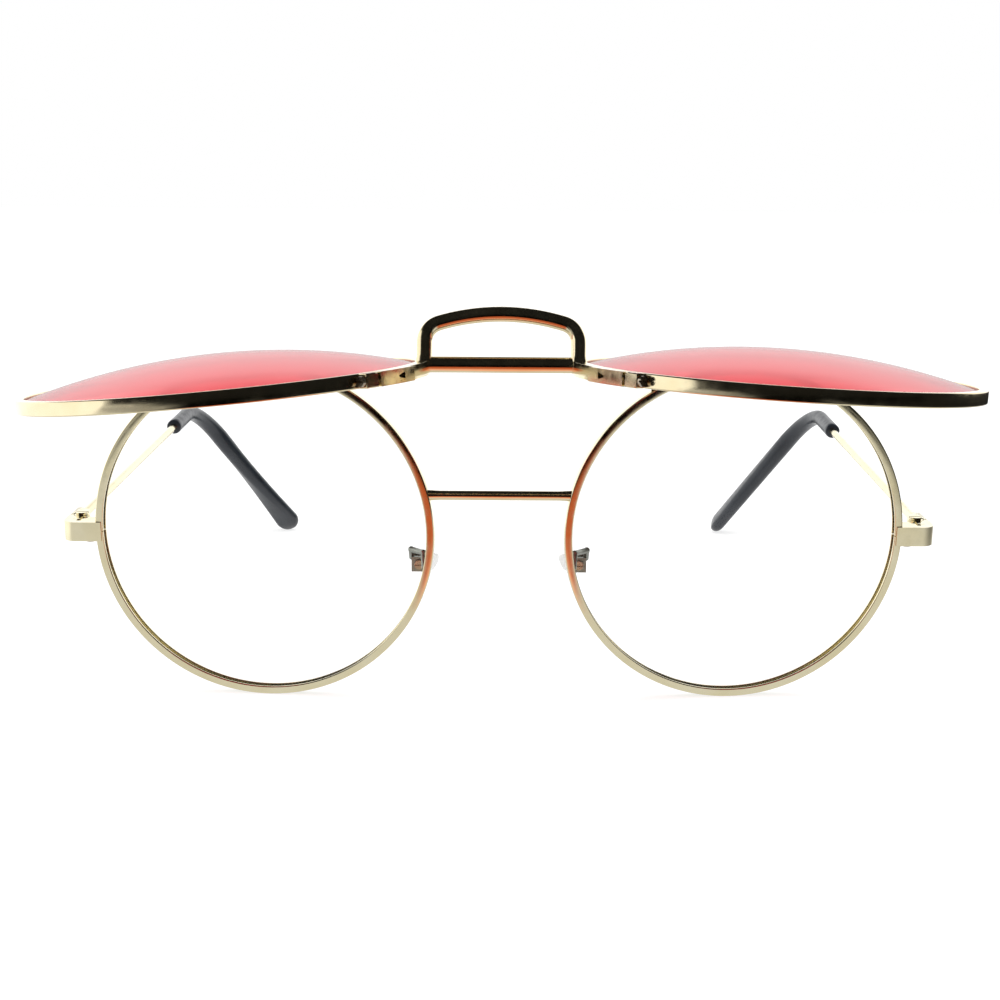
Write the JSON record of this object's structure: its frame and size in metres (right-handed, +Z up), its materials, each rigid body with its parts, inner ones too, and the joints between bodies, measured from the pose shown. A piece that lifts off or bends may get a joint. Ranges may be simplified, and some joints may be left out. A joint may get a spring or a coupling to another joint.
{
  "type": "flip up sunglasses",
  "caption": "Round wire glasses with clear lenses and a tinted pair that flips up on hinges over the brow",
  "frame": {"origin": "On the table, midway between the lowest points of the two clear rims, with the glasses standing on these rims and on the temple tips", "axes": "+X to the right seen from the front, +Y from the front back along the temples, +Z up from the table"},
  "size_m": [0.1378, 0.1723, 0.0633],
  "materials": {
    "frame_metal": "pale gold plated wire, polished",
    "flip_metal": "pale gold plated wire, polished",
    "screw": "gold toned steel, slotted heads",
    "clear_lens": "clear, polished",
    "tinted_lens": "translucent red tint, polished",
    "tip": "dark slate, smooth",
    "pad": "clear silicone",
    "pad_core": "clear hard plastic"
  },
  "bodies": {
    "front": {"bridge_bar": "frame_metal", "base_rim_left": "frame_metal", "base_rim_right": "frame_metal", "clear_lens_left": "clear_lens", "clear_lens_right": "clear_lens", "endpiece_left": "frame_metal", "endpiece_right": "frame_metal", "closing_block_left": "frame_metal", "closing_block_right": "frame_metal", "rim_screw_left": "screw", "rim_screw_right": "screw", "hinge_front_left": "frame_metal", "hinge_front_right": "frame_metal", "hinge_screw_left": "screw", "hinge_screw_right": "screw", "pad_arm_left": "frame_metal", "pad_arm_right": "frame_metal", "pad_screw_left": "screw", "pad_screw_right": "screw", "flip_base_leaf_left": "frame_metal", "flip_base_leaf_right": "frame_metal", "flip_pin_left": "screw", "flip_pin_right": "screw"},
    "flip_unit": {"flip_bar": "flip_metal", "flip_arch": "flip_metal", "flip_rim_left": "flip_metal", "flip_rim_right": "flip_metal", "tinted_lens_left": "tinted_lens", "tinted_lens_right": "tinted_lens", "flip_leaf_left": "flip_metal", "flip_leaf_right": "flip_metal", "flip_block_left": "flip_metal", "flip_block_right": "flip_metal", "flip_cap_left": "flip_metal", "flip_cap_right": "flip_metal", "flip_screw_left": "screw", "flip_screw_right": "screw"},
    "temple_left": {"temple_left": "frame_metal", "hinge_temple_left": "frame_metal", "temple_tip_left": "tip"},
    "temple_right": {"temple_right": "frame_metal", "hinge_temple_right": "frame_metal", "temple_tip_right": "tip"},
    "nose_pad_left": {"nose_pad_left": "pad", "pad_core_left": "pad_core"},
    "nose_pad_right": {"nose_pad_right": "pad", "pad_core_right": "pad_core"}
  },
  "joints": [
    {"name": "flip_hinge", "type": "hinge", "parent": "front", "child": "flip_unit", "pos_m": [0, -0.00657, 0.0515], "axis": [1, 0, 0], "range_deg": [0, 96]},
    {"name": "temple_hinge_left", "type": "hinge", "parent": "front", "child": "temple_left", "pos_m": [-0.0653, 0.00446, 0.02603], "axis": [0, 0.04, -0.9992], "range_deg": [0, 81]},
    {"name": "temple_hinge_right", "type": "hinge", "parent": "front", "child": "temple_right", "pos_m": [0.0653, 0.00446, 0.02603], "axis": [0, -0.04, 0.9992], "range_deg": [0, 67]},
    {"name": "pad_pivot_left", "type": "hinge", "parent": "front", "child": "nose_pad_left", "pos_m": [-0.0126, 0.00591, 0.01978], "axis": [0, 0.9992, 0.04], "range_deg": [-12, 12]},
    {"name": "pad_pivot_right", "type": "hinge", "parent": "front", "child": "nose_pad_right", "pos_m": [0.0126, 0.00591, 0.01978], "axis": [0, 0.9992, 0.04], "range_deg": [-12, 12]}
  ]
}
